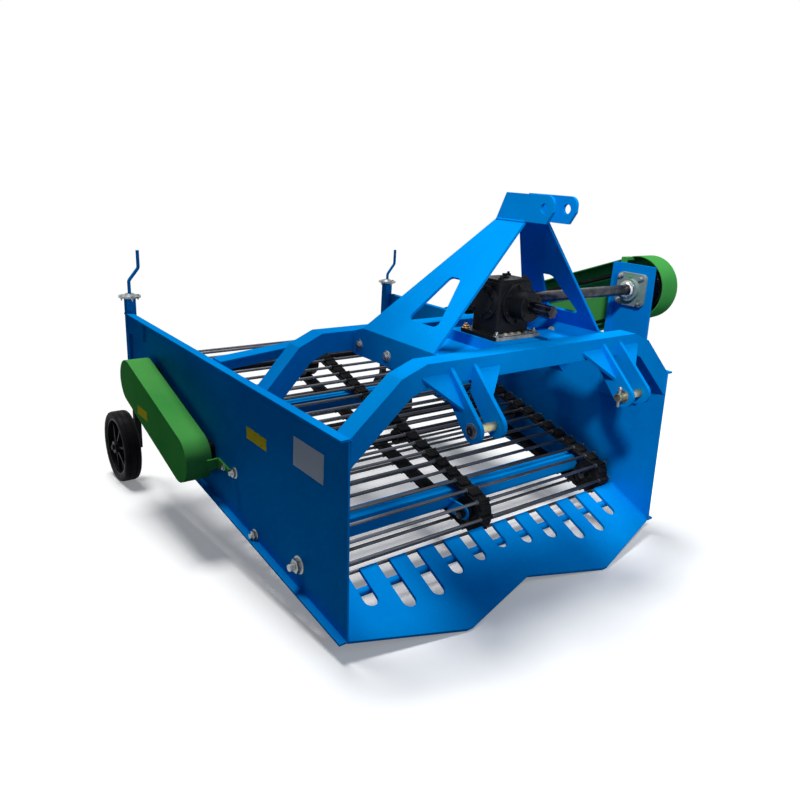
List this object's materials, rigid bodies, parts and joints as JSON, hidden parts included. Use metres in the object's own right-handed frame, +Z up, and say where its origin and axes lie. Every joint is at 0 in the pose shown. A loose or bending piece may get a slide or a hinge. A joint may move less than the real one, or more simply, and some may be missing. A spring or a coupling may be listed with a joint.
{
  "type": "sweet potato digger",
  "caption": "Tractor-mounted root digger: notched blade, sloping rod conveyor between side plates, three-point mast, gearbox with side drives and crank-set gauge wheels.",
  "frame": {"origin": "on the floor under the middle of the machine's outline", "axes": "+X forward to the tractor, +Y to the machine's left, +Z up; the machine stands on its two wheels and the two noses of its blade, nose down"},
  "size_m": [1.9401, 1.526, 1.174],
  "materials": {
    "blue_paint": "gloss",
    "yellow_zinc": "bright",
    "black_casting": "satin",
    "steel": "satin",
    "belt_rubber": "matte",
    "bearing_casting": "satin",
    "green_paint": "gloss",
    "rod_steel": "satin",
    "zinc": "bright",
    "black_paint": "satin",
    "tyre": "matte"
  },
  "bodies": {
    "frame": {"side_plate_right": "blue_paint", "side_plate_left": "blue_paint", "front_arch": "blue_paint", "rear_arch": "blue_paint", "rear_cross_bar": "blue_paint", "mast_rail_right": "blue_paint", "mast_rail_left": "blue_paint", "mast_plate_right": "blue_paint", "mast_plate_left": "blue_paint", "mast_head": "blue_paint", "hitch_lugs_right": "blue_paint", "hitch_lugs_left": "blue_paint", "hitch_pin_right": "yellow_zinc", "hitch_pin_left": "yellow_zinc", "gearbox_base": "blue_paint", "gearbox": "black_casting", "drive_belts": "belt_rubber", "bearing_bracket": "blue_paint", "shaft_bearing": "bearing_casting", "plate_bearings": "black_casting", "left_guard": "green_paint", "right_guard": "green_paint", "agitator_chain": "rod_steel", "web_belts": "belt_rubber", "web_rods": "rod_steel", "front_idlers": "black_casting", "drive_roller": "black_casting", "carrier_rollers": "black_casting", "agitator": "black_casting", "front_beam": "blue_paint", "rear_beam": "blue_paint", "blade": "blue_paint", "tie_rods": "blue_paint", "wheel_post_right": "blue_paint", "wheel_post_left": "blue_paint", "post_cap_right": "zinc", "post_cap_left": "zinc", "crank_right": "blue_paint", "crank_left": "blue_paint"},
    "pto": {"pto_shaft": "steel"},
    "cross_drive": {"cross_shaft": "steel"},
    "leg_right": {"wheel_leg_right": "black_paint"},
    "leg_left": {"wheel_leg_left": "black_paint"},
    "wheel_right": {"tyre_right": "tyre", "rim_right": "black_paint"},
    "wheel_left": {"tyre_left": "tyre", "rim_left": "black_paint"}
  },
  "joints": [
    {"name": "pto_turn", "type": "hinge", "parent": "frame", "child": "pto", "pos_m": [0.85601, 0, 0.85527], "axis": [0.9973, 0, -0.0732], "continuous": true},
    {"name": "cross_drive_turn", "type": "hinge", "parent": "frame", "child": "cross_drive", "pos_m": [0.67449, 0.325, 0.86859], "axis": [0, 1, 0], "continuous": true},
    {"name": "leg_right_height", "type": "slide", "parent": "frame", "child": "leg_right", "axis": [0.0732, 0, 0.9973], "range_m": [-0.06, 0.08]},
    {"name": "wheel_right_turn", "type": "hinge", "parent": "leg_right", "child": "wheel_right", "pos_m": [-0.82008, -0.707, 0.15], "axis": [0, 1, 0], "continuous": true},
    {"name": "leg_left_height", "type": "slide", "parent": "frame", "child": "leg_left", "axis": [0.0732, 0, 0.9973], "range_m": [-0.06, 0.08]},
    {"name": "wheel_left_turn", "type": "hinge", "parent": "leg_left", "child": "wheel_left", "pos_m": [-0.82008, 0.707, 0.15], "axis": [0, 1, 0], "continuous": true}
  ],
  "couplings": [
    {"joint": "pto_turn", "follows": "cross_drive_turn", "ratio": 1}
  ]
}
